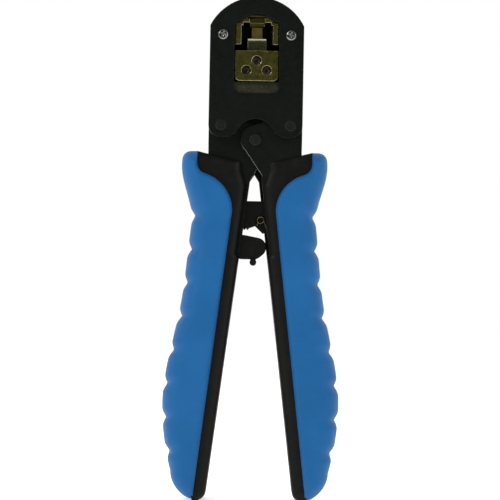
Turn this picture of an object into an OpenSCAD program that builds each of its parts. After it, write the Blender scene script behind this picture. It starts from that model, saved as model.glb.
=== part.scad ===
// Ratchet crimping tool for modular plugs.
// Millimetres. +Z runs from the handle butts to the head, the front looks towards -Y, +X is to the right.
// The origin is on the floor between the butts, on the tool's middle plane.
// The tool is drawn open, as its spring leaves it.

/* [Head] */
// Width of the head plates
head_w = 40.4; // [38:0.2:50]
// Height of the head above the lever pivots
head_rise = 55.5; // [50:0.5:68]
// Radius of the rounded top of the head
head_top_r = 22.6; // [21:0.2:30]
// Thickness of each head plate
plate_t = 2.5; // [1.5:0.1:3.5]
// Distance of each head screw from the middle
screw_x = 14.6; // [13.6:0.1:15.4]
// Height of the head screws above the lever pivots
screw_rise = 38.9; // [34:0.5:42]
// Radius of the head screws' shanks
screw_r = 1.5; // [1.2:0.1:1.8]
// Radius of the head screws' heads
screw_head_r = 2.3; // [1.9:0.1:2.6]
// Radius of the notch in the head plates above the drive pin
notch_r = 8.6; // [8:0.1:9.4]
// Gap between the stationary die's arch and the frame's bridge
bridge_gap = 0.4; // [0.2:0.1:1]

/* [Dies] */
// Width of the plug that the tool crimps
plug_w = 11.7; // [11:0.1:12.2]
// Height of the plug's body
plug_h = 6.6; // [6:0.1:7]
// Width of the plug's latch
latch_w = 6.2; // [5.4:0.1:7]
// Width of the stationary die where it shows in the window
die_w = 18; // [17:0.2:19]
// Width of the stationary die's front opening
die_mouth_w = 13.6; // [12.6:0.1:14.2]
// Height of the die's arch above the top of the plug
arch_rise = 3; // [2.6:0.1:3.6]
// Height of the die's arch above its shoulders
arch_h = 3.4; // [2.8:0.1:3.8]
// Width of the die's arch
arch_w = 14.6; // [14.2:0.2:15.4]
// Height of the stationary die's rails below the bottom of the plug
rail_drop = 2.8; // [2:0.1:3.4]
// Height of the plug's bottom above the lever pivots
plug_rise = 37.9; // [36:0.1:40]
// Width of the moving die
moving_die_w = 18.6; // [17.6:0.2:19.2]
// Height of the moving die below its shoulders
moving_die_h = 13.1; // [12:0.1:14]
// Distance from the moving die's shoulders up to the plug's bottom
shoulder_drop = 5.5; // [5:0.1:6.5]
// Width of the moving die's tongue
tongue_w = 8; // [7:0.1:9]
// Number of contacts that the tool presses
contact_n = 8; // [4:2:10]
// Distance between neighbouring contacts
contact_pitch = 1.02; // [0.9:0.01:1.2]
// Thickness of each contact blade
blade_t = 0.5; // [0.3:0.05:0.6]
// Radius of the moving die's screw heads
die_screw_r = 1.9; // [1.5:0.1:2]

/* [Levers] */
// Distance of each lever pivot from the middle
pivot_x = 14.9; // [14:0.1:16]
// Height of the drive pin below the lever pivots
drive_drop = 5.8; // [5:0.1:6.5]
// Radius of the lever pivot pins
pivot_r = 2.5; // [2:0.1:3]
// Radius of the drive pin
drive_r = 2.2; // [1.8:0.1:2.6]
// Radius of the levers' round ends over the drive pin
hub_r = 6.3; // [5.6:0.1:6.8]
// Radius of the levers' eyes round their pivots
eye_r = 5.3; // [4.6:0.1:6.2]
// Thickness of each lever plate
lever_t = 2.4; // [1.6:0.1:3]
// Thickness of the ram's tail, between the lever plates
tail_t = 4; // [3:0.1:5]
// How far each handle turns, from open to closed
squeeze_deg = 5.8; // [3:0.1:6]

/* [Handles] */
// Length of the handles, from the butts to the lever pivots
handle_len = 161.1; // [140:0.5:200]
// Angle of each handle's inner edge when the tool is open
splay_deg = 7; // [6.6:0.1:9]
// Distance below the pivots at which the inner edges would meet
apex_drop = 7.2; // [4:0.1:9]
// Width of each handle at its shoulder
shoulder_w = 30.6; // [27:0.1:34]
// Width of each handle at its neck, under the shoulder
neck_w = 22.7; // [20:0.1:26]
// Width of each handle at its waist
waist_w = 22.2; // [20:0.1:26]
// Height of the handles' waist above the floor
waist_rise = 90.2; // [76:0.2:94]
// Width of each handle at its belly
belly_w = 24.8; // [22:0.1:29]
// Height of the handles' belly above the floor
belly_rise = 49.9; // [40:0.1:60]
// Width of each handle at its heel, above the rounded butt
heel_w = 16.6; // [14:0.1:19]
// Height of the rounded butt
butt_h = 12; // [8:0.5:18]
// Thickness of the hard cores, front to back
core_t = 17; // [16.6:0.1:20]
// Thickness of the soft grips, front to back
grip_t = 23.4; // [20.6:0.1:28]
// Thickness of the soft grip over the core's outer edge
skin_t = 3.2; // [2:0.1:4.5]
// Width of the core's strip that shows beside the grip
strip_w = 5.3; // [4:0.1:6.5]
// Distance between neighbouring finger notches
notch_pitch = 14.5; // [10:0.1:18]
// Depth of the finger notches
notch_depth = 1.7; // [0.4:0.1:2.4]
// Distance of the first finger notch below the grip's top
first_notch = 28.2; // [24:0.1:34]
// Depth of the channels in the cores that the ratchet moves in
channel_depth = 15.5; // [14:0.1:17]

/* [Ratchet] */
// Height of the rack's straight top edge below the lever pivots
rack_drop = 32; // [30:0.1:35]
// Height of the rack
rack_h = 12.6; // [10:0.1:13]
// Distance of the rack's pin from the middle
rack_pin_x = 9.6; // [8.5:0.1:10.5]
// Radius of the rack's pin
rack_pin_r = 1.8; // [1.2:0.1:2.2]
// Distance between neighbouring ratchet teeth
tooth_pitch = 1.3; // [1:0.1:1.8]
// Height of the ratchet teeth
tooth_h = 0.9; // [0.5:0.1:1.2]
// Distance of the release lever's pin from the middle
pawl_x = 8.2; // [7.8:0.1:9]
// Height of the release lever's pin below the lever pivots
pawl_drop = 51.6; // [50:0.1:54]
// Radius of the release lever's pin
pawl_pin_r = 1.5; // [1.1:0.1:1.8]
// Radius of the knob on the release lever
knob_r = 1.45; // [1:0.05:1.6]

/* [Fits] */
// Radial clearance of each pin in the holes that turn on it
run_gap = 0.05; // [0.02:0.01:0.09]
// Clearance between flat pieces that move past each other
slide_gap = 0.3; // [0.2:0.05:0.4]
// Clearance between pieces that are fixed to each other
seat_gap = 0.02; // [0.01:0.01:0.05]
// Clearance of the plug in the die
plug_gap = 0.15; // [0.05:0.05:0.3]

/* [Hidden] */
$fn = 64;

// How far a cut runs past the faces that it goes through
over = 1;

// Colours
head_black = [0.07, 0.09, 0.08];
steel = [0.62, 0.62, 0.6];
dark_steel = [0.2, 0.2, 0.2];
olive_brass = [0.42, 0.37, 0.16];
pale_gold = [0.78, 0.72, 0.42];
soft_blue = [0.15, 0.42, 0.66];
hard_black = [0.1, 0.1, 0.09];
knob_black = [0.05, 0.05, 0.05];

// Heights
pivot_z = handle_len;
drive_z = pivot_z - drive_drop;
head_top = pivot_z + head_rise;
plug_z = pivot_z + plug_rise;
plug_top = plug_z + plug_h + plug_gap;
arch_top = plug_top + arch_rise;
shoulder_z = arch_top - arch_h;
rail_z = plug_z - rail_drop;
moving_z = plug_z - shoulder_drop;
moving_bottom = moving_z - moving_die_h;
screw_z = pivot_z + screw_rise;

// Layers from the middle plane outwards: ram tail, left lever, right lever, head plate
tail_y = tail_t / 2;
left_y = tail_y + slide_gap;
right_y = left_y + lever_t + slide_gap;
plate_y = right_y + lever_t + slide_gap;
face_y = plate_y + plate_t;

// Head
lobe_r = head_w / 2 - pivot_x;
window_gap = 0.6;
window_drop = 5.3;
window_corner = 2.6;
frame_inset = 0.5;
frame_bottom = pivot_z + eye_r + 1.6;
ram_bottom = pivot_z + eye_r + 0.6;
guide_x = die_w / 2 + 1;
rivet_rise = 0.45;
cusp_deg = 17;
notch_side_x = pivot_x - 2;
notch_side_z = pivot_z - lobe_r - 0.6;
screw_head_h = 1.3;
nut_r = 2.9;
nut_h = 1.4;
spacer_r = 4.4;
sleeve_r = 3.3;
spring_r = 4.1;
spring_wire_r = 0.4;

// Dies
tang_y = 3;
tang_h = 11.6;
comb_y = 0.6;
comb_l = 2.2;
punch_back = 4.6;
punch_tenon_h = 1.6;
punch_tenon_l = 2.4;
punch_gap = 0.15;
punch_bevel_h = 1.9;
punch_bevel_l = 1.3;
die_recess = 1.1;
die_front = face_y - die_recess;
step_y = 5;
dowel_x = 7.4;
dowel_r = 1.2;
dowel_l = 6;
stop_y = 4.6;
stop_t = 1.4;
stop_w = 4.8;
stop_drop = 0.7;
mouth_wall = 0.8;
latch_rise = 2.1;
die_proud = 0.2;
die_corner = 2.2;
die_shank_r = 1.2;
die_screw_head_h = 1.9;
die_counterbore = 1.8;
// Places of the moving die's three screws: x and height above its bottom edge
die_screws = [[0, 8.8], [-4.4, 4.6], [4.4, 4.6]];
arch_r = (pow(arch_w / 2, 2) + pow(arch_h, 2)) / (2 * arch_h);

// Drive pin's travel in the levers' slots
arm_r = norm([pivot_x, drive_drop]);
arm_deg = atan(drive_drop / pivot_x);
closed_drop = pivot_x * tan(arm_deg - squeeze_deg);
closed_arm = norm([pivot_x, closed_drop]);

// Handles
top_drop = 11.1;
core_top_x = 24.7;
core_top_slope = 14;
core_nose_x = 5.6;
grip_top = pivot_z - 10.6;
neck_z = pivot_z - 43;
waist_z = waist_rise;
belly_z = belly_rise;
butt_gap = 0.3;
butt_w = 5;
setback = 1.1;
setback_z = pivot_z - 56;
sweep_r = 16.5;
sweep_z = pivot_z - 36.7;
curl_r = 5;
tail_end_z = 24;
tail_end_w = 8;
lever_width = 12;
step_z = 1;
lobe_round = 4;
butt_flat_z = 3;
foot_w = 2.8;
core_pin_r = 1.8;
core_pin_inset = 7.3;
core_pin_z = [40, 78];

// Ratchet
rack_top = pivot_z - rack_drop;
rack_bottom = rack_top - rack_h;
rack_pin_z = rack_top - 7.1;
rack_lug_r = 5.2;
rack_tip_x = -11.4;
relief_x = -1;
relief_h = 1.8;
pawl_z = pivot_z - pawl_drop;
pawl_tip_gap = 0.45;
channel_end = pawl_z - 13.5;
rack_spacer_r = 3.2;
tooth_x0 = -8.4;
tooth_n = floor((relief_x - tooth_x0) / tooth_pitch);
rack_spring_x = 3;
rack_spring_z = rack_top - 8.2;
recess_r = 2.4;
recess_depth = 1.5;
knob_x = 0;
knob_z = pawl_z - 6.9;
knob_half = 3.6;

// Inner edge of a handle at a height, and the handle's width there
function inner_x(z) = (pivot_z - apex_drop - z) * tan(splay_deg);
function ease(t) = 0.5 - 0.5 * cos(180 * max(0, min(1, t)));
function blend(a, b, t) = a + (b - a) * ease(t);
function grip_width(z) =
    z > neck_z ? blend(shoulder_w, neck_w, (grip_top - 3.5 - z) / (grip_top - 3.5 - neck_z))
    : z > waist_z ? blend(neck_w, waist_w, (neck_z - z) / (neck_z - waist_z))
    : z > belly_z ? blend(waist_w, belly_w, (waist_z - z) / (waist_z - belly_z))
    : z > butt_h ? belly_w - (belly_w - heel_w) * pow((belly_z - z) / (belly_z - butt_h), 1.8)
    : butt_w + (heel_w - butt_w) * pow(1 - pow(1 - z / butt_h, 1.6), 0.62);
function notch_n() = floor((grip_top - first_notch - butt_h) / notch_pitch);
function valley(z) = let (s = (grip_top - first_notch - z) / notch_pitch, k = round(s))
    k < 0 || k > notch_n() ? 0 : pow(max(0, 1 - abs(s - k) * notch_pitch / 3.8), 1.5);
function outer_x(z) = inner_x(z) + grip_width(z) - notch_depth * valley(z);
function core_pin_x(z) = inner_x(z) + core_pin_inset;

// Inner corner of a lever's web: one that runs on under the hub, and one cut straight
nose_low_z = pivot_z - 23.2;
deep_nose = [[inner_x(nose_low_z), nose_low_z], [0, pivot_z - 20.2]];
short_nose = [[inner_x(nose_low_z) + setback, nose_low_z], [3.2, pivot_z - 21.2]];

// A shape in the XZ plane, extruded from y0 to y1
module slab(y0, y1) {
    translate([0, y1, 0]) rotate([90, 0, 0]) linear_extrude(y1 - y0) children();
}

// The same shape in front of and behind the middle plane
module pair(y0, y1) {
    slab(y0, y1) children();
    slab(-y1, -y0) children();
}

// A round bar along Y
module bar(x, z, r, y0, y1) {
    translate([x, y1, z]) rotate([90, 0, 0]) cylinder(r = r, h = y1 - y0);
}

// A pin along Y with small chamfers at both ends
module pin(x, z, r, half, chamfer = 0.3) {
    translate([x, half, z]) rotate([90, 0, 0]) rotate_extrude()
        polygon([[0, 0], [r - chamfer, 0], [r, chamfer], [r, 2 * half - chamfer],
            [r - chamfer, 2 * half], [0, 2 * half]]);
}

// A ring along Y
module ring(x, z, r_in, r_out, y0, y1) {
    difference() {
        bar(x, z, r_out, y0, y1);
        bar(x, z, r_in, y0 - 1, y1 + 1);
    }
}

// A flat shape with its outward corners rounded
module rounded(r) {
    offset(r = r) offset(delta = -r) children();
}

module mirrored(left) {
    if (left) mirror([1, 0, 0]) children();
    else children();
}

// A wire of radius r swept along points, none of whose steps runs along the axis
function unit(v) = v / norm(v);
function along(p, i) = unit(p[min(i + 1, len(p) - 1)] - p[max(i - 1, 0)]);
function wire_ring(c, t, axis, r, n) = let (u = unit(cross(t, axis)), v = cross(u, t))
    [for (k = [0:n - 1]) c + r * (u * cos(360 * k / n) + v * sin(360 * k / n))];
module wire(p, r, axis = [0, 1, 0], n = 8) {
    m = len(p);
    polyhedron(
        [for (i = [0:m - 1]) each wire_ring(p[i], along(p, i), axis, r, n)],
        concat(
            [[for (k = [0:n - 1]) k]],
            [for (i = [0:m - 2], k = [0:n - 1])
                each let (a = i * n + k, b = i * n + (k + 1) % n) [[a, a + n, b + n], [a, b + n, b]]],
            [[for (k = [n - 1:-1:0]) (m - 1) * n + k]]));
}
function coil(x, z, r, y0, y1, turns, start, n = 20) =
    [for (i = [0:turns * n]) let (a = start + 360 * i / n)
        [x + r * cos(a), y0 + (y1 - y0) * i / (turns * n), z + r * sin(a)]];

// ---- Head ----

// Outline of the head above a height, pulled in by an inset. A head wider than its rounded top has two
// corners of that radius with a flat between them.
module head_top_shape(bottom, inset) {
    corner_x = max(0, head_w / 2 - head_top_r);
    corner_z = head_top - head_top_r;
    intersection() {
        translate([-head_w / 2 + inset, bottom]) square([head_w - 2 * inset, head_top - bottom]);
        union() {
            for (x = corner_x > 0 ? [-corner_x, corner_x] : [0])
                translate([x, corner_z]) circle(head_top_r - inset, $fn = 128);
            if (corner_x > 0)
                translate([-corner_x, corner_z]) square([2 * corner_x, head_top_r - inset]);
        }
    }
    translate([-head_w / 2 + inset, bottom]) square([head_w - 2 * inset, corner_z - bottom]);
}

// The stationary die's outline where it shows in the window
module die_shape(bottom) {
    translate([-die_w / 2, bottom]) square([die_w, shoulder_z - bottom]);
    intersection() {
        translate([0, arch_top - arch_r]) circle(arch_r, $fn = 96);
        translate([-arch_w / 2, shoulder_z - 1]) square([arch_w, arch_h + 2]);
    }
}

module window_shape() {
    offset(delta = window_gap) die_shape(rail_z);
    translate([-die_w / 2 - window_gap + window_corner, moving_bottom - window_drop])
        offset(r = window_corner)
            translate([0, window_corner])
                square([die_w + 2 * (window_gap - window_corner), rail_z - moving_bottom + window_drop]);
}

// The notch that leaves the levers' round ends and the drive pin in view
module hub_notch() {
    cusp_x = notch_r * cos(cusp_deg);
    cusp_z = drive_z + notch_r * sin(cusp_deg);
    translate([0, drive_z]) circle(notch_r, $fn = 96);
    polygon([[-cusp_x, cusp_z], [cusp_x, cusp_z], [notch_side_x, notch_side_z],
        [notch_side_x, drive_z - notch_r], [-notch_side_x, drive_z - notch_r],
        [-notch_side_x, notch_side_z]]);
}

module plate_shape() {
    difference() {
        union() {
            head_top_shape(pivot_z, 0);
            hull() for (s = [-1, 1]) translate([s * pivot_x, pivot_z]) circle(lobe_r);
        }
        hub_notch();
        children();
    }
}

module head_plate() {
    color(head_black) difference() {
        slab(plate_y, face_y) plate_shape() children();
        for (s = [-1, 1]) {
            bar(s * pivot_x, pivot_z, pivot_r, plate_y - 1, face_y + 1);
            bar(s * screw_x, screw_z, screw_r + seat_gap, plate_y - 1, face_y + 1);
        }
    }
}

module front_plate() {
    mirror([0, 1, 0]) head_plate() window_shape();
}

module back_plate() {
    head_plate();
}

// The inverted U between the plates. The ram slides between its legs, and the die hangs from its bridge.
module head_frame() {
    color(dark_steel) difference() {
        slab(-plate_y, plate_y) difference() {
            head_top_shape(frame_bottom, frame_inset);
            translate([-guide_x, frame_bottom - 1])
                square([2 * guide_x, arch_top + bridge_gap - frame_bottom + 1]);
        }
        for (s = [-1, 1]) {
            bar(s * screw_x, screw_z, screw_r + seat_gap, -plate_y - 1, plate_y + 1);
            translate([s * dowel_x, 0, arch_top]) cylinder(r = dowel_r, h = dowel_l / 2 + bridge_gap);
        }
    }
}

module head_screws() {
    edge = 0.5;
    cross_slot = [2.4, 1.6, 0.5];
    for (s = [-1, 1]) color(steel) difference() {
        union() {
            bar(s * screw_x, screw_z, screw_r, -face_y, face_y + screw_head_h);
            translate([s * screw_x, -face_y, screw_z]) rotate([90, 0, 0]) rotate_extrude()
                polygon([[0, 0], [screw_head_r, 0], [screw_head_r, screw_head_h - edge],
                    [screw_head_r - edge, screw_head_h], [0, screw_head_h]]);
        }
        for (a = [20, 110])
            translate([s * screw_x, -face_y - screw_head_h, screw_z]) rotate([0, a, 0])
                cube(cross_slot, center = true);
    }
}

module head_nuts() {
    for (s = [-1, 1]) color(steel) difference() {
        translate([s * screw_x, face_y + nut_h, screw_z]) rotate([90, 0, 0])
            cylinder(r = nut_r, h = nut_h, $fn = 6);
        bar(s * screw_x, screw_z, screw_r, face_y - over, face_y + nut_h + over);
    }
}

module pivot_pin(s) {
    color(head_black) pin(s * pivot_x, pivot_z, pivot_r, face_y + rivet_rise, 0.5);
}

module left_pivot_pin() {
    pivot_pin(-1);
}

module right_pivot_pin() {
    pivot_pin(1);
}

module left_pivot_spacers() {
    r_in = pivot_r + run_gap;
    y0 = left_y + lever_t + slide_gap / 4;
    y1 = plate_y - seat_gap;
    color(steel) {
        ring(-pivot_x, pivot_z, r_in, spacer_r, y0, y1);
        ring(-pivot_x, pivot_z, r_in, spacer_r, -y1, -y0);
        ring(-pivot_x, pivot_z, r_in, spacer_r, slide_gap / 4 - left_y, left_y - slide_gap / 4);
    }
}

module right_pivot_sleeve() {
    y = right_y - slide_gap / 4;
    color(steel) ring(pivot_x, pivot_z, pivot_r + run_gap, sleeve_r, -y, y);
}

// Torsion spring round the right pivot sleeve, with one leg up to the frame and one down the lever
module opening_spring() {
    y = 3;
    turns = 5.5;
    up_leg = frame_bottom - pivot_z - 0.3;
    down_leg = 8;
    bend = 3;
    color(steel) wire(concat(
        [[pivot_x - spring_r, -y, pivot_z + up_leg], [pivot_x - spring_r, -y, pivot_z + bend]],
        coil(pivot_x, pivot_z, spring_r, -y, y, turns, 180),
        [[pivot_x + spring_r, y, pivot_z - bend], [pivot_x + spring_r, y, pivot_z - down_leg]]),
        spring_wire_r);
}

// ---- Dies ----

module stationary_die() {
    wall_x = plug_w / 2 + plug_gap;
    color(olive_brass) difference() {
        union() {
            slab(-die_front, 0) die_shape(rail_z);
            slab(-plate_y + seat_gap, plate_y - seat_gap)
                translate([seat_gap - guide_x, rail_z])
                    square([2 * (guide_x - seat_gap), arch_top + bridge_gap - seat_gap - rail_z]);
        }
        slab(-step_y, stop_y + stop_t) translate([-wall_x, rail_z - 1])
            square([2 * wall_x, plug_top - rail_z + 1]);
        slab(-face_y - 1, -step_y) {
            translate([-wall_x, rail_z - 1]) square([2 * wall_x, plug_top - rail_z + 1]);
            translate([-die_mouth_w / 2, rail_z - 1])
                square([die_mouth_w, shoulder_z - mouth_wall - rail_z + 1]);
        }
        slab(-face_y - 1, stop_y) translate([-latch_w / 2 - plug_gap, rail_z])
            square([latch_w + 2 * plug_gap, plug_top + latch_rise - rail_z]);
        for (s = [-1, 1]) translate([s * dowel_x, 0, arch_top - dowel_l / 2])
            cylinder(r = dowel_r, h = dowel_l);
    }
}

module die_dowels() {
    for (s = [-1, 1]) color(steel) translate([s * dowel_x, 0, arch_top - dowel_l / 2])
        cylinder(r = dowel_r, h = dowel_l);
}

// The tab on the cavity's back wall that the plug's nose meets
module plug_stop() {
    color(pale_gold) slab(stop_y, stop_y + stop_t)
        translate([-stop_w / 2, plug_z + stop_drop]) square([stop_w, plug_top - plug_z - stop_drop]);
}

// The slide that carries the moving die. Its tail holds the drive pin between the lever plates.
module ram() {
    ram_x = guide_x - slide_gap / 2;
    ram_y = plate_y - slide_gap;
    tail_w = 10;
    color(dark_steel) difference() {
        union() {
            slab(-ram_y, ram_y) translate([-ram_x, ram_bottom])
                square([2 * ram_x, moving_bottom - seat_gap - ram_bottom]);
            slab(-tang_y, ram_y) translate([-die_w / 2, moving_bottom - 1])
                square([die_w, tang_h + 1]);
            slab(-tail_y, tail_y) translate([-tail_w / 2, drive_z])
                square([tail_w, ram_bottom + 1 - drive_z]);
            bar(0, drive_z, tail_w / 2, -tail_y, tail_y);
        }
        bar(0, drive_z, drive_r, -tail_y - 1, tail_y + 1);
        die_screw_holes(die_shank_r, 1);
    }
}

module die_screw_holes(r, depth) {
    for (p = die_screws) bar(p[0], moving_bottom + p[1], r, -face_y, depth);
}

module moving_die() {
    top = plug_z - 1.7;
    color(olive_brass) difference() {
        union() {
            slab(-die_front - die_proud, -tang_y - seat_gap) translate([0, moving_bottom]) hull() {
                for (s = [-1, 1]) translate([s * (moving_die_w / 2 - die_corner), die_corner])
                    circle(die_corner);
                translate([-moving_die_w / 2, moving_die_h - 1]) square([moving_die_w, 1]);
            }
            slab(-die_front - die_proud, comb_y + comb_l + 1.2) translate([-tongue_w / 2, moving_z - 1.4])
                square([tongue_w, top - moving_z + 1.4]);
        }
        die_screw_holes(die_shank_r + seat_gap, 0);
        for (p = die_screws)
            bar(p[0], moving_bottom + p[1], die_screw_r + 0.15, -face_y, die_counterbore - die_front);
        for (i = [0:contact_n - 1]) blade_block(i, seat_gap);
        punch_block(seat_gap);
    }
}

// One contact blade, or its slot with a gap round it
module blade_block(i, gap) {
    x = (i - (contact_n - 1) / 2) * contact_pitch;
    translate([x - blade_t / 2 - gap, comb_y - gap, moving_z + 0.6])
        cube([blade_t + 2 * gap, comb_l + 2 * gap, plug_z - moving_z - 0.85]);
}

// The staking punch's block with its tenon, or the room for them with a gap round it
module punch_block(gap) {
    front = die_front + die_proud;
    translate([-tongue_w / 2 - gap, -front - gap, moving_z - gap])
        cube([tongue_w + 2 * gap, front - punch_back + 2 * gap, plug_z - punch_gap - moving_z + 2 * gap]);
    translate([-tongue_w / 2 - gap, -punch_back - punch_tenon_l - gap, moving_z - punch_tenon_h - gap])
        cube([tongue_w + 2 * gap, punch_tenon_l + 2 * gap, punch_tenon_h + over]);
}

module contact_blades() {
    color(steel) for (i = [0:contact_n - 1]) blade_block(i, 0);
}

module staking_punch() {
    top = plug_z - punch_gap;
    front = die_front + die_proud;
    color(steel) difference() {
        punch_block(0);
        rotate([90, 0, 90]) translate([0, 0, -tongue_w]) linear_extrude(2 * tongue_w)
            polygon([[-front - over, top - punch_bevel_h - over * punch_bevel_h / punch_bevel_l],
                [-front + punch_bevel_l, top], [-front + punch_bevel_l, top + over],
                [-front - over, top + over]]);
    }
}

module moving_die_screws() {
    seat = die_counterbore - die_front;
    for (p = die_screws) color(dark_steel) difference() {
        union() {
            bar(p[0], moving_bottom + p[1], die_shank_r, seat, 1);
            bar(p[0], moving_bottom + p[1], die_screw_r, seat - die_screw_head_h, seat);
        }
        translate([p[0], seat - die_screw_head_h + 1, moving_bottom + p[1]]) rotate([90, 0, 0])
            cylinder(r = die_screw_r * 0.55, h = 2, $fn = 6);
    }
}

module drive_pin() {
    half = plate_y + 0.5;
    head_r = drive_r + 0.5;
    color(head_black) {
        bar(0, drive_z, drive_r, -right_y - lever_t, half);
        translate([0, -right_y - lever_t, drive_z]) rotate([90, 0, 0]) rotate_extrude()
            polygon([[0, 0], [head_r, 0], [head_r, 0.6], [head_r - 0.5, 1.1], [0, 1.1]]);
    }
}

module drive_pin_ring() {
    color(steel) ring(0, drive_z, drive_r, drive_r + 1.3, plate_y - slide_gap / 2, plate_y + 0.4);
}

// ---- Levers ----

// A right-hand lever seen from the front. Its web ends under the drive pin at the points in nose.
module lever_shape(inset, nose) {
    arm_end_z = pivot_z - 14;
    bend_z = pivot_z - 46;
    end_x = inner_x(tail_end_z) + 2;
    rounded(0.4) {
        hull() {
            translate([pivot_x, pivot_z]) circle(eye_r);
            translate([0, drive_z]) circle(hub_r);
        }
        polygon(concat(
            [[pivot_x, pivot_z], [pivot_x + eye_r, pivot_z], [pivot_x + eye_r, arm_end_z],
                [inner_x(bend_z) + lever_width, bend_z],
                [end_x + tail_end_w, tail_end_z], [end_x, tail_end_z],
                [inner_x(setback_z) + inset, setback_z]],
            nose,
            [[-hub_r * 0.93, drive_z - hub_r * 0.37], [0, drive_z]]));
    }
}

// A lever plate with its bores. Its third pin carries a piece of the ratchet.
module lever_plate(y0, pin_x, pin_z, pin_r, inset = 0, nose = deep_nose) {
    y1 = y0 + lever_t;
    color(head_black) difference() {
        slab(y0, y1) lever_shape(inset, nose);
        bar(pivot_x, pivot_z, pivot_r + run_gap, y0 - over, y1 + over);
        drive_slot(y0);
        bar(pin_x, pin_z, pin_r, y0 - over, y1 + over);
        for (z = core_pin_z) bar(core_pin_x(z), z, core_pin_r, y0 - over, y1 + over);
    }
}

// The slot along the arm that lets the drive pin rise in a straight line
module drive_slot(y0) {
    slot_r = drive_r + run_gap;
    for (r = [closed_arm, arm_r])
        bar(pivot_x - r * cos(arm_deg), pivot_z - r * sin(arm_deg), slot_r, y0 - 1, y0 + lever_t + 1);
    translate([pivot_x, y0 - 1, pivot_z]) rotate([0, 180 - arm_deg, 0])
        translate([closed_arm, 0, -slot_r])
            cube([arm_r - closed_arm, lever_t + 2, 2 * slot_r]);
}

module left_lever_front() {
    mirror([1, 0, 0]) lever_plate(-left_y - lever_t, pawl_x, pawl_z, pawl_pin_r);
}

module left_lever_back() {
    mirror([1, 0, 0]) lever_plate(left_y, pawl_x, pawl_z, pawl_pin_r);
}

module right_lever_front() {
    lever_plate(-right_y - lever_t, rack_pin_x, rack_pin_z, rack_pin_r, setback, short_nose);
}

module right_lever_back() {
    lever_plate(right_y, rack_pin_x, rack_pin_z, rack_pin_r);
}

// ---- Handles ----

// The whole outline of a right-hand handle, with its finger notches
module handle_shape() {
    n = ceil((grip_top - butt_gap) / step_z);
    offset(r = lobe_round) offset(delta = -lobe_round) polygon(concat(
        [[inner_x(butt_gap), butt_gap], [inner_x(grip_top), grip_top]],
        [for (i = [0:n]) let (z = grip_top - (grip_top - butt_gap) * i / n) [outer_x(z), z]]));
}

// Everything inside the line where the soft grip stops on the front and back faces
module strip_shape() {
    sweep_x = inner_x(sweep_z) + strip_w + 0.4 + sweep_r;
    curl_x = core_top_x - curl_r;
    curl_z = sweep_z + sqrt(pow(sweep_r + curl_r, 2) - pow(sweep_x - curl_x, 2));
    meet_deg = atan2(curl_z - sweep_z, curl_x - sweep_x);
    polygon(concat(
        [[-20, -1], [inner_x(-1) + strip_w, -1]],
        [for (a = [180:-5:meet_deg]) [sweep_x + sweep_r * cos(a), sweep_z + sweep_r * sin(a)]],
        [for (a = [meet_deg - 180:5:0]) [curl_x + curl_r * cos(a), curl_z + curl_r * sin(a)]],
        [[core_top_x, pivot_z], [-20, pivot_z]]));
}

// The core's outline: the handle's, less the grip's skin, with a sloping top
module core_shape() {
    top_z = pivot_z - top_drop;
    low_z = top_z - (core_top_x - core_nose_x) * tan(core_top_slope);
    bend_z = pivot_z - 26;
    intersection() {
        union() {
            difference() {
                offset(delta = -skin_t) handle_shape();
                translate([0, -1]) square([60, butt_flat_z + 1]);
            }
            intersection() {
                handle_shape();
                strip_shape();
            }
            butt_foot();
        }
        polygon([[-1, -1], [inner_x(-1), -1], [inner_x(setback_z), setback_z],
            [inner_x(setback_z) + setback, setback_z + 0.1],
            [inner_x(bend_z) + setback, bend_z], [core_nose_x, bend_z + 7], [core_nose_x, low_z],
            [core_top_x, top_z], [60, top_z], [60, -1]]);
    }
}

// The flat foot of the core, on which the tool can stand
module butt_foot() {
    x0 = inner_x(0) + strip_w - foot_w;
    polygon([[x0, 0], [x0 + foot_w, 0], [x0 + foot_w + 1, butt_flat_z + 1], [x0 - 1.4, butt_flat_z + 1]]);
}

// The channel between the lever plates, open towards the other handle
module channel_shape(bottom) {
    open_x = -8;
    lip_z = bottom - 3;
    neck_x = inner_x(rack_top + 8) + 4;
    polygon([[open_x, lip_z], [inner_x(lip_z), lip_z], [inner_x(bottom) + channel_depth - 4, bottom],
        [inner_x(bottom + 6) + channel_depth, bottom + 6],
        [inner_x(rack_top) + channel_depth, rack_top + 4],
        [neck_x, rack_top + 12], [neck_x, pivot_z], [open_x, pivot_z]]);
}

module handle_core(y0) {
    color(hard_black) difference() {
        slab(-core_t / 2, core_t / 2) core_shape();
        slab(-y0, y0) channel_shape(channel_end);
        pair(y0 - seat_gap, y0 + lever_t + seat_gap) offset(delta = seat_gap) lever_shape(0, deep_nose);
        for (z = core_pin_z) bar(core_pin_x(z), z, core_pin_r, -core_t, core_t);
    }
}

module left_core() {
    mirror([1, 0, 0]) handle_core(left_y);
}

module right_core() {
    handle_core(right_y);
}

module core_pins(left) {
    color(steel) mirrored(left) for (z = core_pin_z)
        bar(core_pin_x(z), z, core_pin_r, -core_t / 2, core_t / 2);
}

module left_core_pins() {
    core_pins(true);
}

module right_core_pins() {
    core_pins(false);
}

// The soft grip wraps the core's outer edge and both of its faces
module handle_grip() {
    color(soft_blue) difference() {
        slab(-grip_t / 2, grip_t / 2) difference() {
            handle_shape();
            strip_shape();
        }
        slab(-core_t / 2 - seat_gap, core_t / 2 + seat_gap) offset(delta = seat_gap) core_shape();
    }
}

module left_grip() {
    mirror([1, 0, 0]) handle_grip();
}

module right_grip() {
    handle_grip();
}

// ---- Ratchet ----

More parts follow.
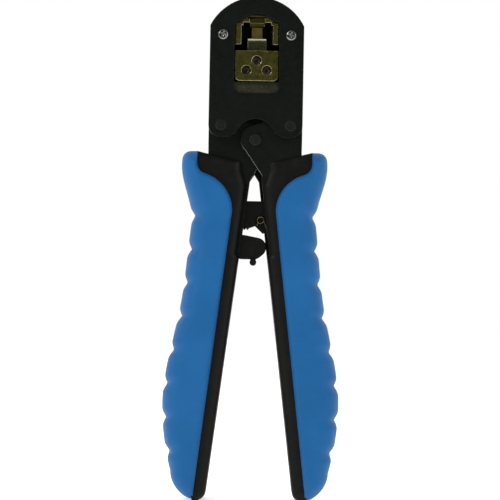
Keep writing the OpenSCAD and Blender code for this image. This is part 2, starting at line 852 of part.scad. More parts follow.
module rack_shape() {
    heel_z = rack_bottom + relief_h;
    rounded(0.15) {
        polygon(concat(
            [[rack_tip_x, rack_top - 1], [rack_tip_x + 1, rack_top], [rack_pin_x, rack_top]],
            [[rack_pin_x, rack_pin_z - rack_lug_r + 0.4], [relief_x + 5, rack_bottom - 1.4],
                [relief_x + 1.6, heel_z]],
            [for (i = [tooth_n - 1:-1:0]) each [
                [tooth_x0 + (i + 1) * tooth_pitch, rack_bottom + tooth_h],
                [tooth_x0 + (i + 0.3) * tooth_pitch, rack_bottom]]],
            [[tooth_x0, heel_z], [rack_tip_x, heel_z]]));
        translate([rack_pin_x, rack_pin_z]) circle(rack_lug_r);
    }
}

// The recess in the rack's front face that the small spring sits in
module spring_recess() {
    x = rack_spring_x;
    translate([x, rack_spring_z]) circle(recess_r);
    polygon([[x - recess_r, rack_spring_z], [x + recess_r, rack_spring_z], [x + 6, rack_bottom - 3],
        [x - 1, rack_bottom - 3]]);
}

module ratchet_rack() {
    color(head_black) difference() {
        slab(-tail_y, tail_y) rack_shape();
        slab(-tail_y - over, recess_depth - tail_y) spring_recess();
        bar(rack_pin_x, rack_pin_z, rack_pin_r + run_gap, -tail_y - over, tail_y + over);
    }
}

module rack_spring() {
    r = 1.45;
    wire_r = 0.26;
    y0 = 0.3 - tail_y;
    y1 = 1.2 - tail_y;
    turns = 1.5;
    color(pale_gold) wire(concat(
        [[rack_spring_x - r, y0, rack_spring_z - 2.6]],
        coil(rack_spring_x, rack_spring_z, r, y0, y1, turns, 180),
        [[rack_spring_x + r + 1.6, y1, rack_bottom - 0.6]]), wire_r);
}

module rack_pin() {
    y = right_y + lever_t;
    color(steel) bar(rack_pin_x, rack_pin_z, rack_pin_r, -y, y);
}

module rack_spacers() {
    y0 = tail_y + slide_gap / 3;
    y1 = right_y - seat_gap;
    color(steel) {
        ring(rack_pin_x, rack_pin_z, rack_pin_r, rack_spacer_r, y0, y1);
        ring(rack_pin_x, rack_pin_z, rack_pin_r, rack_spacer_r, -y1, -y0);
    }
}

// The release lever: its tip holds the rack's teeth, and its rounded nose is pushed down to let them go
module pawl_shape() {
    tip_z = rack_bottom - pawl_tip_gap;
    boss_r = 3.3;
    nose_x = 2.2;
    nose_z = pawl_z - 1.2;
    nose_r = 4.2;
    back = [-4.4, pawl_z + 1.8];
    back_r = 3.1;
    rounded(0.3) {
        hull() {
            translate([-pawl_x, pawl_z]) circle(boss_r);
            translate(back) circle(back_r);
        }
        hull() {
            translate(back) circle(back_r);
            translate([-5, pawl_z - 3.2]) circle(2.4);
            translate([nose_x - 0.8, nose_z + 0.8]) circle(nose_r);
            translate([nose_x - 2, nose_z - 0.2]) circle(nose_r);
        }
        translate([knob_x, knob_z + 1.4]) circle(1.2);
        polygon([[-pawl_x - 3.2, pawl_z], [-pawl_x - 0.6, tip_z], [-pawl_x + 0.5, tip_z - 0.3],
            [-pawl_x + 3, pawl_z]]);
    }
}

module release_pawl() {
    color(hard_black) difference() {
        slab(-tail_y, tail_y) pawl_shape();
        bar(-pawl_x, pawl_z, pawl_pin_r + run_gap, -tail_y - 1, tail_y + 1);
        bar(knob_x, knob_z, knob_r, -tail_y - 1, tail_y + 1);
    }
}

module release_knob() {
    color(knob_black) bar(knob_x, knob_z, knob_r, -knob_half, knob_half);
}

module pawl_pin() {
    y = left_y + lever_t;
    color(steel) bar(-pawl_x, pawl_z, pawl_pin_r, -y, y);
}

// Compression spring between the channel's floor and the release lever's heel
module pawl_spring() {
    r = 1.1;
    x0 = -inner_x(pawl_z - 4) - channel_depth + 1;
    x1 = -pawl_x - 3;
    turns = 6;
    n = 16;
    color(steel) wire([for (i = [0:turns * n]) let (a = 360 * i / n)
        [x0 + (x1 - x0) * i / (turns * n), r * cos(a), pawl_z - 3 + r * sin(a)]], 0.22, [1, 0, 0], 6);
}

front_plate();
back_plate();
head_frame();
head_screws();
head_nuts();
left_pivot_pin();
right_pivot_pin();
left_pivot_spacers();
right_pivot_sleeve();
opening_spring();
stationary_die();
die_dowels();
plug_stop();
ram();
moving_die();
moving_die_screws();
contact_blades();
staking_punch();
drive_pin();
drive_pin_ring();
left_lever_front();
left_lever_back();
right_lever_front();
right_lever_back();
left_core();
right_core();
left_core_pins();
right_core_pins();
left_grip();
right_grip();
ratchet_rack();
rack_spring();
rack_pin();
rack_spacers();
release_pawl();
release_knob();
pawl_pin();
pawl_spring();
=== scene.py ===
import math
import bmesh
import bpy
import numpy as np
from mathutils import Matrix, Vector


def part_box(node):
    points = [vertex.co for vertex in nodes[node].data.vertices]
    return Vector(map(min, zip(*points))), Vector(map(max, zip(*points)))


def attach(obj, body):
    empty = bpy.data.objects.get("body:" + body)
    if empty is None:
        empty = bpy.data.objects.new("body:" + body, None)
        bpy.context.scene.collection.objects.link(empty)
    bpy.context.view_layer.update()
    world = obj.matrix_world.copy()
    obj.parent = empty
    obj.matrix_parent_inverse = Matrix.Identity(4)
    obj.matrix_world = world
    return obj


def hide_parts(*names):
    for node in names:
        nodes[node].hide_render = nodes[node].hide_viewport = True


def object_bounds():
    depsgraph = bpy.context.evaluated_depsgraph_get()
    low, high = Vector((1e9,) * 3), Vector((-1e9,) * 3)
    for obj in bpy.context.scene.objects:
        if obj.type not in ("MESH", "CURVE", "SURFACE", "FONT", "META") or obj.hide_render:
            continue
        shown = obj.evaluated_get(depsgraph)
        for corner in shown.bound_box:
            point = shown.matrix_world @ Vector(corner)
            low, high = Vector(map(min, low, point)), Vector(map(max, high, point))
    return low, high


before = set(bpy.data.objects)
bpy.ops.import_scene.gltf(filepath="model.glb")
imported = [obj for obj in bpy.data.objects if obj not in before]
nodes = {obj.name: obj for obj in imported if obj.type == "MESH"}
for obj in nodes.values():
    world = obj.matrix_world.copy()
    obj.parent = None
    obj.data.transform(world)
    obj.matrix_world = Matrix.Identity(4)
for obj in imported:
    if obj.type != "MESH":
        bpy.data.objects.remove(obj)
cad_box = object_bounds()
MM = 0.001
# How near two points lie to count as one, and how far a section stays off an outline's ends
TINY = 1e-6
# The square of a length that counts as none
NO_LENGTH2 = 1e-14

# ---- Outlines read from the CAD ----


def front_outline(node, side):
    """The outline of a node's front face, as (x, z) segments, with x counted outwards on that side."""
    mesh = nodes[node].data
    co = np.array([v.co for v in mesh.vertices])
    front = co[:, 1].min()
    first = {}
    same = [first.setdefault(tuple(np.round(c, 7)), i) for i, c in enumerate(co)]
    edges = set()
    for face in mesh.polygons:
        ring = [same[v] for v in face.vertices]
        if max(co[v][1] for v in ring) - front < TINY:
            edges.update(zip(ring, ring[1:] + ring[:1]))
    after = {a: b for a, b in edges if (b, a) not in edges}
    longest = []
    while after:
        start, b = after.popitem()
        loop = [start]
        while b != start:
            loop.append(b)
            b = after.pop(b)
        longest = max(longest, loop, key=len)
    points = co[longest][:, [0, 2]]
    points[:, 0] *= side
    return np.stack([points, np.roll(points, -1, axis=0)], axis=1)


def middle_section(node, side):
    """Where a node's walls cross the middle plane, as (x, z) segments."""
    bm = bmesh.new()
    bm.from_mesh(nodes[node].data)
    everything = bm.verts[:] + bm.edges[:] + bm.faces[:]
    cut = bmesh.ops.bisect_plane(bm, geom=everything, dist=0.1 * TINY, plane_co=(0, 0, 0), plane_no=(0, 1, 0))
    edges = [e for e in cut["geom_cut"] if isinstance(e, bmesh.types.BMEdge)]
    lines = [[(side * v.co.x, v.co.z) for v in e.verts] for e in edges]
    bm.free()
    return np.array(lines)


def crossings(lines, z):
    """The lowest and highest x at which (x, z) segments cross a level, or None if they don't."""
    a, b = lines[:, 0], lines[:, 1]
    hit = (a[:, 1] <= z) != (b[:, 1] <= z)
    if not hit.any():
        return None
    a, b = a[hit], b[hit]
    x = a[:, 0] + (b[:, 0] - a[:, 0]) * (z - a[:, 1]) / (b[:, 1] - a[:, 1])
    return x.min(), x.max()


def distance(points, line):
    """How far each (x, z) point lies from an open line of (x, z) points."""
    best = np.full(len(points), np.inf)
    for a, b in zip(line[:-1], line[1:]):
        d = b - a
        length2 = d @ d
        if length2 < NO_LENGTH2:
            continue
        t = np.clip((points - a) @ d / length2, 0, 1)
        best = np.minimum(best, np.hypot(*(points - a - t[:, None] * d).T))
    return best


def shoulder(d, width, power):
    """0 at an edge, 1 past the rounding's width, along a superellipse."""
    t = np.clip(d / width, 0, 1)
    return (1 - (1 - t) ** power) ** (1 / power)


def eased(count):
    """Numbers from 0 to 1 that crowd together at both ends."""
    return 0.5 - 0.5 * np.cos(np.linspace(0, math.pi, count))


def columns(span, levels, count):
    """Each level's x from its lowest to its highest, and all of them as one list of (x, z) points."""
    x = span[:, :1] + (span[:, 1:] - span[:, :1]) * eased(count + 1)
    return x, np.column_stack([x.ravel(), np.repeat(levels, count + 1)])


def bridge(rings):
    """Faces between neighbouring rings of the same length, with a cap at both ends."""
    faces = []
    for a, b in zip(rings[:-1], rings[1:]):
        n = len(a)
        faces += [(a[k], a[(k + 1) % n], b[(k + 1) % n], b[k]) for k in range(n)]
    return faces + [tuple(rings[0]), tuple(reversed(rings[-1]))]


def new_object(name, vertices, faces, material, body):
    """A smooth closed piece that rides a body."""
    mesh = bpy.data.meshes.new(name)
    mesh.from_pydata([tuple(v) for v in vertices], [], faces)
    bm = bmesh.new()
    bm.from_mesh(mesh)
    bmesh.ops.remove_doubles(bm, verts=bm.verts, dist=2 * TINY)
    bmesh.ops.dissolve_degenerate(bm, edges=bm.edges, dist=TINY)
    bmesh.ops.recalc_face_normals(bm, faces=bm.faces)
    bm.to_mesh(mesh)
    bm.free()
    mesh.shade_smooth()
    mesh.materials.append(material)
    piece = bpy.data.objects.new(name, mesh)
    bpy.context.scene.collection.objects.link(piece)
    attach(piece, body)
    return piece


# ---- Materials ----


class Shader:
    """A material with one Principled shader, and short ways to add the nodes that feed it."""

    def __init__(self, name, **values):
        self.material = bpy.data.materials.new(name)
        self.material.use_nodes = True
        self.tree = self.material.node_tree
        self.out = self.tree.nodes["Principled BSDF"]
        for key, value in values.items():
            self.out.inputs[key.replace("_", " ")].default_value = value
        self.place = self.node("ShaderNodeTexCoord").outputs["Object"]
        self.axes = None

    def node(self, kind, **settings):
        made = self.tree.nodes.new(kind)
        for key, value in settings.items():
            setattr(made, key, value)
        return made

    def link(self, a, b):
        self.tree.links.new(a, b)

    def axis(self, name):
        """The place along one of the piece's own axes."""
        if not self.axes:
            split = self.node("ShaderNodeSeparateXYZ")
            self.link(self.place, split.inputs["Vector"])
            self.axes = split.outputs
        return self.axes[name]

    def math(self, operation, a, b):
        made = self.node("ShaderNodeMath", operation=operation)
        self.link(a, made.inputs[0])
        self.link(b, made.inputs[1])
        return made.outputs["Value"]

    def noise(self, size_mm, detail=3.0, stretch=(1, 1, 1)):
        """Noise whose grains are about size_mm across, stretched along the axes."""
        mapping = self.node("ShaderNodeMapping")
        mapping.inputs["Scale"].default_value = [1 / (size_mm * MM * s) for s in stretch]
        noise = self.node("ShaderNodeTexNoise")
        noise.inputs["Scale"].default_value = 1.0
        noise.inputs["Detail"].default_value = detail
        self.link(self.place, mapping.inputs["Vector"])
        self.link(mapping.outputs["Vector"], noise.inputs["Vector"])
        return noise.outputs["Fac"]

    def spread(self, fac, low, high, start=0.35, end=0.65):
        """A number that runs from low to high as fac goes from start to end."""
        made = self.node("ShaderNodeMapRange")
        for key, value in (("From Min", start), ("From Max", end), ("To Min", low), ("To Max", high)):
            made.inputs[key].default_value = value
        self.link(fac, made.inputs["Value"])
        return made.outputs["Result"]

    def colours(self, fac, stops):
        """The base colour, from (position, colour) stops along fac."""
        ramp = self.node("ShaderNodeValToRGB").color_ramp
        while len(ramp.elements) < len(stops):
            ramp.elements.new(0.5)
        for element, (at, colour) in zip(ramp.elements, stops):
            element.position = at
            element.color = (*colour, 1)
        made = self.tree.nodes[-1]
        self.link(fac, made.inputs["Fac"])
        self.link(made.outputs["Color"], self.out.inputs["Base Color"])

    def roughness(self, fac, low, high):
        self.link(self.spread(fac, low, high), self.out.inputs["Roughness"])

    def bump(self, layers):
        """Layers of (height, depth in mm), one on the other."""
        normal = None
        for height, depth_mm in layers:
            made = self.node("ShaderNodeBump")
            made.inputs["Strength"].default_value = 1.0
            made.inputs["Distance"].default_value = depth_mm * MM
            self.link(height, made.inputs["Height"])
            if normal:
                self.link(normal, made.inputs["Normal"])
            normal = made.outputs["Normal"]
        self.link(normal, self.out.inputs["Normal"])


def soft_rubber():
    """Soft blue overmoulding: an even matt skin with a fine spark-eroded grain and faint handling marks."""
    s = Shader("soft_rubber", Specular_IOR_Level=0.16, Sheen_Weight=0.02, Sheen_Roughness=0.5)
    s.colours(s.noise(16, 4), [(0.3, (0.0070, 0.104, 0.290)), (0.7, (0.0105, 0.121, 0.335))])
    s.roughness(s.noise(5, 5), 0.44, 0.58)
    s.bump([(s.noise(0.35, 2), 0.018), (s.noise(1.6, 3), 0.010)])
    return s.material


def moulded_black(name, low=0.36, high=0.5):
    """Hard black nylon with a moulded grain."""
    s = Shader(name, Specular_IOR_Level=0.14)
    s.colours(s.noise(9, 4), [(0.35, (0.0028, 0.0034, 0.0024)), (0.65, (0.0050, 0.0054, 0.0036))])
    s.roughness(s.noise(2.5, 4), low, high)
    s.bump([(s.noise(0.3, 2), 0.012)])
    return s.material


def black_oxide(name, tint=(0.0024, 0.0036, 0.0025), low=0.34, high=0.48, rolled=(6, 1, 1)):
    """Black oxide over rolled steel: fine directional grain under a thin uneven skin."""
    s = Shader(name, Specular_IOR_Level=0.12)
    lighter = tuple(1.5 * c for c in tint)
    s.colours(s.noise(7, 5), [(0.35, tint), (0.7, lighter)])
    s.roughness(s.noise(1.4, 4), low, high)
    s.bump([(s.noise(0.12, 3, rolled), 0.003), (s.noise(0.9, 3), 0.0025)])
    return s.material


def metal(name, dark, light, low, high, grain=(1, 1, 5), depth=0.003, patch=2.0):
    """Bare or plated metal with machining marks."""
    s = Shader(name, Metallic=1.0)
    s.colours(s.noise(patch, 5), [(0.35, dark), (0.65, light)])
    s.roughness(s.noise(0.8, 4), low, high)
    s.bump([(s.noise(0.1, 3, grain), depth)])
    return s.material


def banded(name, dark, bright, top, bottom):
    """Blackened steel whose colour is painted brighter between two heights."""
    s = Shader(name, Metallic=1.0)
    below = s.spread(s.axis("Z"), 1, 0, top - BAND_FADE, top + BAND_FADE)
    above = s.spread(s.axis("Z"), 0, 1, bottom - BAND_FADE, bottom + BAND_FADE)
    brightened = s.math("MULTIPLY", s.math("MULTIPLY", below, above), s.spread(s.noise(1.5, 4), 0.6, 1.0))
    s.colours(brightened, [(0, dark), (1, bright)])
    s.roughness(s.noise(0.8, 4), 0.28, 0.42)
    s.bump([(s.noise(0.1, 3), 0.003)])
    return s.material


def graded(name, axis, start, end, stops, low, high, end_above=None):
    """Metal whose colour goes through the stops along an axis, from start to end. If a height is given last,
    all of it above that height has the colour it ends with."""
    s = Shader(name, Metallic=1.0)
    grade = s.spread(s.axis(axis), 0, 1, start, end)
    if end_above:
        grade = s.math("MAXIMUM", grade, s.spread(s.axis("Z"), 0, 1, end_above - END_FADE, end_above + END_FADE))
    s.colours(s.math("MULTIPLY", grade, s.spread(s.noise(2.0, 5), 0.85, 1.0)), stops)
    s.roughness(s.noise(0.8, 4), low, high)
    s.bump([(s.noise(0.1, 3, (5, 1, 1)), 0.003)])
    return s.material


# Half the height over which a band, or the plain part above a given height, fades out
BAND_FADE = 2 * MM
END_FADE = 0.2 * MM

RUBBER = soft_rubber()
NYLON = moulded_black("nylon_core")
PLASTIC = moulded_black("nylon_lever", 0.3, 0.44)
OXIDE = black_oxide("oxide_head")
OXIDE_LEVER = black_oxide("oxide_lever", (0.0022, 0.0032, 0.0022), 0.36, 0.5, (1, 1, 6))
OXIDE_RIVET = black_oxide("oxide_rivet", (0.0085, 0.0100, 0.0085), 0.22, 0.34, (1, 1, 1))
OXIDE_EDGE = metal("oxide_worn_edge", (0.012, 0.014, 0.011), (0.026, 0.027, 0.022), 0.34, 0.5)
# Painted highlight on the levers' edges between the drive pin and the cores; the ram's face is lighter below
# the moving die
LEVER_EDGE = banded("lever_edge_painted_highlight", (0.014, 0.015, 0.012), (0.42, 0.42, 0.39),
                    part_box("drive_pin")[0].z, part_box("left_core")[1].z - 10 * MM)
MACHINED = metal("machined_dark", (0.016, 0.018, 0.014), (0.034, 0.035, 0.027), 0.30, 0.44,
                 grain=(1, 1, 8), patch=6.0)
RAM_FACE = banded("ram_face", (0.010, 0.011, 0.009), (0.085, 0.088, 0.062),
                  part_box("moving_die")[0].z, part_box("drive_pin")[1].z + 12 * MM)
NICKEL = metal("nickel_plate", (0.07, 0.07, 0.062), (0.15, 0.148, 0.135), 0.12, 0.22)
NICKEL_EDGE = metal("nickel_rim", (0.16, 0.16, 0.145), (0.34, 0.335, 0.31), 0.12, 0.2)
BRIGHT = metal("ground_steel", (0.34, 0.34, 0.32), (0.50, 0.50, 0.47), 0.22, 0.36)
SPRING = metal("spring_steel", (0.24, 0.24, 0.22), (0.38, 0.38, 0.35), 0.24, 0.36)
CHROMATE = metal("chromate_olive", (0.070, 0.070, 0.016), (0.112, 0.098, 0.026), 0.30, 0.44, (5, 1, 1))
CHROMATE_EDGE = metal("chromate_rim", (0.28, 0.25, 0.11), (0.52, 0.46, 0.24), 0.20, 0.32)
# The stationary die and its rim have painted shade deep inside the cavity, fading out towards the front face
# and gone above the cavity
DIE_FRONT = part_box("stationary_die")[0].y
DIE_DARK = DIE_FRONT + 3 * MM
DIE_UNSHADED = DIE_FRONT + 0.6 * MM
CAVITY_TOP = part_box("stationary_die")[1].z - 3 * MM
CHROMATE_DIE = graded("chromate_die", "Y", DIE_DARK, DIE_UNSHADED,
                      [(0, (0.004, 0.005, 0.004)), (0.6, (0.060, 0.058, 0.014)), (1, (0.112, 0.100, 0.028))],
                      0.30, 0.44, CAVITY_TOP)
CHROMATE_DIE_EDGE = graded("chromate_die_rim", "Y", DIE_DARK, DIE_UNSHADED,
                           [(0, (0.010, 0.011, 0.007)), (1, (0.44, 0.39, 0.19))], 0.20, 0.32, CAVITY_TOP)
COLUMN = metal("chromate_column", (0.26, 0.20, 0.052), (0.38, 0.30, 0.10), 0.30, 0.42, (5, 1, 1))
# The punch has a painted highlight on its bevel, and is darker down to the moving die's shoulders
PUNCH_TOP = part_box("staking_punch")[1].z
PUNCH_SHOWS = 5.4 * MM
PUNCH = graded("punch_steel", "Z", PUNCH_TOP - PUNCH_SHOWS, PUNCH_TOP,
               [(0, (0.10, 0.10, 0.03)), (0.3, (0.16, 0.18, 0.075)), (0.68, (0.19, 0.22, 0.10)),
                (0.76, (0.78, 0.74, 0.48))], 0.14, 0.26)
BRASS_WIRE = metal("brass_wire", (0.11, 0.092, 0.034), (0.26, 0.215, 0.09), 0.18, 0.28)
SCREW_DARK = metal("screw_dark", (0.030, 0.027, 0.020), (0.080, 0.070, 0.050), 0.22, 0.34)

# ---- CAD nodes that keep their shape: broken edges and finishes ----


def painted_node(name, material):
    """A CAD node in a material, with its doubled points joined."""
    node = nodes[name]
    for slot in node.material_slots:
        slot.material = material
    weld = node.modifiers.new("weld", "WELD")
    weld.merge_threshold = TINY
    return node


def finish_node(name, material, edge=0.15, rim=None, segments=2):
    """A CAD node's finish, with its sharp edges broken by edge mm and, if given, a rim material on them."""
    node = painted_node(name, material)
    flat = node.modifiers.new("flat", "DECIMATE")
    flat.decimate_type = "DISSOLVE"
    flat.angle_limit = FLAT_ANGLE
    bevel = node.modifiers.new("edge", "BEVEL")
    bevel.width = edge * MM
    bevel.segments = segments
    bevel.limit_method = "ANGLE"
    bevel.angle_limit = SHARP_ANGLE
    bevel.use_clamp_overlap = False
    if rim:
        node.data.materials.append(rim)
        bevel.material = len(node.data.materials) - 1
    normals = node.modifiers.new("normals", "WEIGHTED_NORMAL")
    normals.keep_sharp = False


def round_wire(name, material):
    """A CAD wire, smoothed round."""
    node = painted_node(name, material)
    smooth = node.modifiers.new("round", "SUBSURF")
    smooth.levels = smooth.render_levels = 2
    node.data.shade_smooth()


# Faces that meet at less than the first angle become one, and edges sharper than the second are broken
FLAT_ANGLE = math.radians(0.4)
SHARP_ANGLE = math.radians(38)

for plate in ("front_plate", "back_plate"):
    finish_node(plate, OXIDE, 0.22, OXIDE_EDGE)
finish_node("head_frame", MACHINED, 0.15)
finish_node("head_screws", NICKEL, 0.22, NICKEL_EDGE, 3)
finish_node("head_nuts", NICKEL, 0.15, NICKEL_EDGE)
for pin in ("left_pivot_pin", "right_pivot_pin", "drive_pin"):
    finish_node(pin, OXIDE_RIVET, 0.1)
for part in ("left_pivot_spacers", "right_pivot_sleeve", "die_dowels", "rack_pin", "rack_spacers",
             "pawl_pin", "left_core_pins", "right_core_pins", "drive_pin_ring"):
    finish_node(part, BRIGHT, 0.08)
finish_node("stationary_die", CHROMATE_DIE, 0.16, CHROMATE_DIE_EDGE, 3)
finish_node("moving_die", CHROMATE, 0.2, CHROMATE_EDGE, 3)
finish_node("plug_stop", COLUMN, 0.1)
finish_node("staking_punch", PUNCH, 0.12)
finish_node("contact_blades", BRIGHT, 0.04)
finish_node("moving_die_screws", SCREW_DARK, 0.15)
finish_node("ram", RAM_FACE, 0.2)
# The levers' rims carry the painted highlight of LEVER_EDGE between the drive pin and the cores
for lever in ("left_lever_front", "left_lever_back", "right_lever_front", "right_lever_back"):
    finish_node(lever, OXIDE_LEVER, 0.15, LEVER_EDGE)
finish_node("ratchet_rack", OXIDE_LEVER, 0.08, OXIDE_EDGE)
finish_node("release_pawl", PLASTIC, 0.2)
finish_node("release_knob", PLASTIC, 0.3, None, 3)
for wire, material in (("opening_spring", SPRING), ("pawl_spring", SPRING), ("rack_spring", BRASS_WIRE)):
    round_wire(wire, material)

# ---- Soft grips ----

GRIP_ROWS = 420
GRIP_COLUMNS = 36
HOLLOW_COLUMNS = 4
# How much of the rows' spacing is even, the rest crowding at both ends
EVEN_PART = 0.75
# The rounding over the grip's outer edge
EDGE_ROUND = 8.0 * MM
EDGE_POWER = 2.3
# The small lip beside the hard strip
LIP_ROUND = 2.0 * MM
LIP_STEP = 0.3 * MM
# The gap to the core, and the thinnest wall
SEAT = 0.02 * MM
THINNEST = 0.4 * MM


def soft_grip(side, word):
    """The overmoulded skin: rounded over its outer edge, with a small lip where it meets the hard strip, and
    hollow where the core fills it. Each level is one closed ring: front skin, back skin, the hollow between."""
    grip, core = front_outline(word + "_grip", side), front_outline(word + "_core", side)
    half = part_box(word + "_grip")[1].y
    core_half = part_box(word + "_core")[1].y
    low, high = grip[..., 1].min(), grip[..., 1].max()
    rows = EVEN_PART * np.linspace(0, 1, GRIP_ROWS) + (1 - EVEN_PART) * eased(GRIP_ROWS)
    levels = low + TINY + (high - low - 2 * TINY) * rows
    span = np.array([crossings(grip, z) for z in levels])
    inner_line = np.column_stack([span[:, 0], levels])
    outer_edge = np.column_stack([span[:, 1], levels])
    outer_line = np.vstack([[span[0, 0], low], outer_edge, [span[-1, 0], high]])
    x, flat = columns(span, levels, GRIP_COLUMNS)
    rise = half * shoulder(distance(flat, outer_line), EDGE_ROUND, EDGE_POWER)
    lip = core_half + LIP_STEP
    lip = lip + (half - lip) * shoulder(distance(flat, inner_line), LIP_ROUND, 2.0)
    y = np.minimum(rise, lip).reshape(x.shape)
    vertices, rings = [], []
    for i, z in enumerate(levels):
        edge = crossings(core, z)
        reach = span[i, 0] if edge is None else min(max(edge[1] + SEAT, span[i, 0]), span[i, 1])
        ring = [(x[i, j], -y[i, j]) for j in range(GRIP_COLUMNS + 1)]
        ring += [(x[i, j], y[i, j]) for j in range(GRIP_COLUMNS - 1, -1, -1)]
        hollow = np.linspace(span[i, 0], reach, HOLLOW_COLUMNS + 1)
        deep = np.clip(np.interp(hollow, x[i], y[i]) - THINNEST, 0, core_half + SEAT)
        ring += [(hx, d) for hx, d in zip(hollow, deep)]
        ring += [(hx, -d) for hx, d in zip(hollow[::-1], deep[::-1])]
        rings.append(range(len(vertices), len(vertices) + len(ring)))
        vertices += [(side * px, py, z) for px, py in ring]
    piece = new_object(word + "_soft_grip", vertices, bridge(rings), RUBBER, word + "_handle")
    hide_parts(word + "_grip")


# ---- Hard cores ----

CORE_COLUMNS = 26
# Rows in the rounded butt up to FOOT_Z, in the arm up to ARM_Z, and in the shoulder
FOOT_Z, FOOT_ROWS = 9 * MM, 36
ARM_Z, ARM_ROWS = 128 * MM, 150
SHOULDER_ROWS = 150
# The quarter round of the strip beside the grip, and the rounding of the sloping top
STRIP_ROUND = 4.2 * MM
STRIP_DEPTH = 3.1 * MM
TOP_ROUND = 1.3 * MM
# The least wall over the back lever plate, and how far the lever plates stand out of the core's inner edge
LEVER_COVER = 0.25 * MM
LEVER_PROUD = 0.05 * MM
# The core's top edge begins where its inner edge slopes out more than this
TOP_SLOPE = 1
CORE_SHARP = math.radians(35)


def hard_core(side, word):
    """The core with its inner and top edges rounded, so that the strip beside the grip is a quarter round.
    Each level is one closed ring: front skin, back skin and the channel that the ratchet moves in."""
    name = word + "_core"
    outline, section = front_outline(name, side), middle_section(name, side)
    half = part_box(name)[1].y
    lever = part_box(word + "_lever_back")
    low, high = outline[..., 1].min(), outline[..., 1].max()
    levels = np.concatenate([np.linspace(low + TINY, FOOT_Z, FOOT_ROWS, endpoint=False),
                             np.linspace(FOOT_Z, ARM_Z, ARM_ROWS, endpoint=False),
                             np.linspace(ARM_Z, high - TINY, SHOULDER_ROWS)])
    span = np.array([crossings(outline, z) for z in levels])
    span[:, 0] += LEVER_PROUD
    slope = np.gradient(span[:, 0], levels)
    first = int(np.argmax((levels > 0.5 * (ARM_Z + high)) & (slope > TOP_SLOPE)))
    edge = np.column_stack([span[:, 0], levels])
    inner_line = edge[:first + 1]
    top_line = np.vstack([edge[first:], [span[-1, 1], high]])
    x, flat = columns(span, levels, CORE_COLUMNS)
    strip = 1 - shoulder(distance(flat, inner_line), STRIP_ROUND, 2.0)
    top = TOP_ROUND * (1 - shoulder(distance(flat, top_line), TOP_ROUND, 2.0))
    back_depth = min(STRIP_DEPTH, half - lever[1].y - LEVER_COVER)
    front = (half - np.maximum(STRIP_DEPTH * strip, top)).reshape(x.shape)
    back = (half - np.maximum(back_depth * strip, top)).reshape(x.shape)
    vertices, rings = [], []
    for i, z in enumerate(levels):
        start = span[i, 0]
        floor_x = crossings(section, z)
        floor_x = start if floor_x is None else min(max(floor_x[0], start), span[i, 1] - TINY)
        wall = min(lever[0].y, front[i, 0] - THINNEST, back[i, 0] - THINNEST)
        ring = [(px, -py) for px, py in zip(x[i], front[i])]
        ring += [(px, py) for px, py in zip(x[i, ::-1], back[i, ::-1])]
        ring += [(start, wall), (floor_x, wall), (floor_x, -wall), (start, -wall)]
        rings.append(range(len(vertices), len(vertices) + len(ring)))
        vertices += [(side * px, py, z) for px, py in ring]
    piece = new_object(word + "_hard_core", vertices, bridge(rings), NYLON, word + "_handle")
    piece.data.set_sharp_from_angle(angle=CORE_SHARP)
    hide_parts(name)


for side, word in ((-1, "left"), (1, "right")):
    soft_grip(side, word)
    hard_core(side, word)

# ---- Floor, light and camera ----


# Where the room's white ends and its dark begins, by how far a direction points behind the photographer
WHITE_ENDS = 0.12
DARK_BEGINS = 0.62
ROOM_DARK = (0.10, 0.10, 0.10, 1)


def world_light():
    """A pale room on every side, with the dark of the room behind the photographer."""
    world = bpy.data.worlds.new("studio")
    bpy.context.scene.world = world
    world.use_nodes = True
    tree = world.node_tree
    place = tree.nodes.new("ShaderNodeTexCoord")
    towards = tree.nodes.new("ShaderNodeVectorMath")
    towards.operation = "DOT_PRODUCT"
    towards.inputs[1].default_value = (0, -1, 0)
    ramp = tree.nodes.new("ShaderNodeValToRGB")
    ramp.color_ramp.elements[0].position = WHITE_ENDS
    ramp.color_ramp.elements[0].color = (1, 1, 1, 1)
    ramp.color_ramp.elements[1].position = DARK_BEGINS
    ramp.color_ramp.elements[1].color = ROOM_DARK
    tree.links.new(place.outputs["Generated"], towards.inputs[0])
    tree.links.new(towards.outputs["Value"], ramp.inputs["Fac"])
    tree.links.new(ramp.outputs["Color"], tree.nodes["Background"].inputs["Color"])


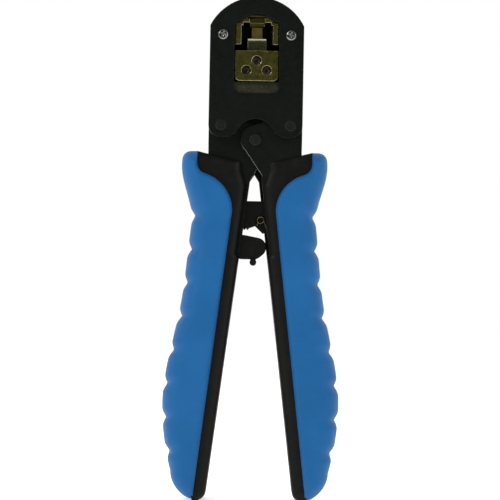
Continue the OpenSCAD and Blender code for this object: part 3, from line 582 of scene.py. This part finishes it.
def softbox(name, place, size, power, target):
    """A rectangular lamp that faces its target."""
    light = bpy.data.lights.new(name, "AREA")
    light.shape = "RECTANGLE"
    light.size, light.size_y = size
    light.energy = power
    lamp = bpy.data.objects.new(name, light)
    lamp.location = place
    lamp.rotation_euler = (target - Vector(place)).to_track_quat("-Z", "Y").to_euler()
    bpy.context.scene.collection.objects.link(lamp)


def floor():
    """A sheet of white paper, wide enough to fill every view."""
    s = Shader("floor_paper", Roughness=0.8, Specular_IOR_Level=0.1, Emission_Color=(1, 1, 1, 1),
               Emission_Strength=0.5)
    s.colours(s.noise(30, 2), [(0.3, (0.90, 0.90, 0.90)), (0.7, (0.93, 0.93, 0.93))])
    mesh = bpy.data.meshes.new("floor")
    r = FLOOR_HALF
    mesh.from_pydata([(-r, -r, 0), (r, -r, 0), (r, r, 0), (-r, r, 0)], [], [(0, 1, 2, 3)])
    mesh.materials.append(s.material)
    ground = bpy.data.objects.new("floor", mesh)
    bpy.context.scene.collection.objects.link(ground)


FLOOR_HALF = 4.0
# The height that the picture shows at the camera's distance, and the point of the front plate's plane that
# lies in its middle
VIEW_HEIGHT = 213.9 * MM
CAMERA_FAR = 0.70
AIM_X = -0.9 * MM
AIM_Z = 107.6 * MM
PITCH = math.radians(2.0)
ROLL = math.radians(-1.07)
SENSOR_WIDTH = 36


def camera():
    """Square on to the front, looking up a little, with the head at the top edge of the picture and the butts
    at the bottom."""
    data = bpy.data.cameras.new("camera")
    data.sensor_width = SENSOR_WIDTH
    data.lens = data.sensor_width * CAMERA_FAR / VIEW_HEIGHT
    made = bpy.data.objects.new("camera", data)
    aim = Vector((AIM_X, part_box("front_plate")[0].y, AIM_Z))
    made.location = aim - CAMERA_FAR * Vector((0, math.cos(PITCH), math.sin(PITCH)))
    made.rotation_euler = (math.pi / 2 + PITCH, ROLL, 0)
    bpy.context.scene.collection.objects.link(made)
    bpy.context.scene.camera = made


middle = Vector((0, 0, cad_box[1].z / 2))
floor()
world_light()
softbox("key", (-0.55, -0.60, 0.62), (0.35, 0.35), 3.2, middle)
softbox("fill", (0.60, -0.55, 0.35), (0.45, 0.45), 1.2, middle)
camera()
bpy.context.scene.view_settings.view_transform = "Standard"
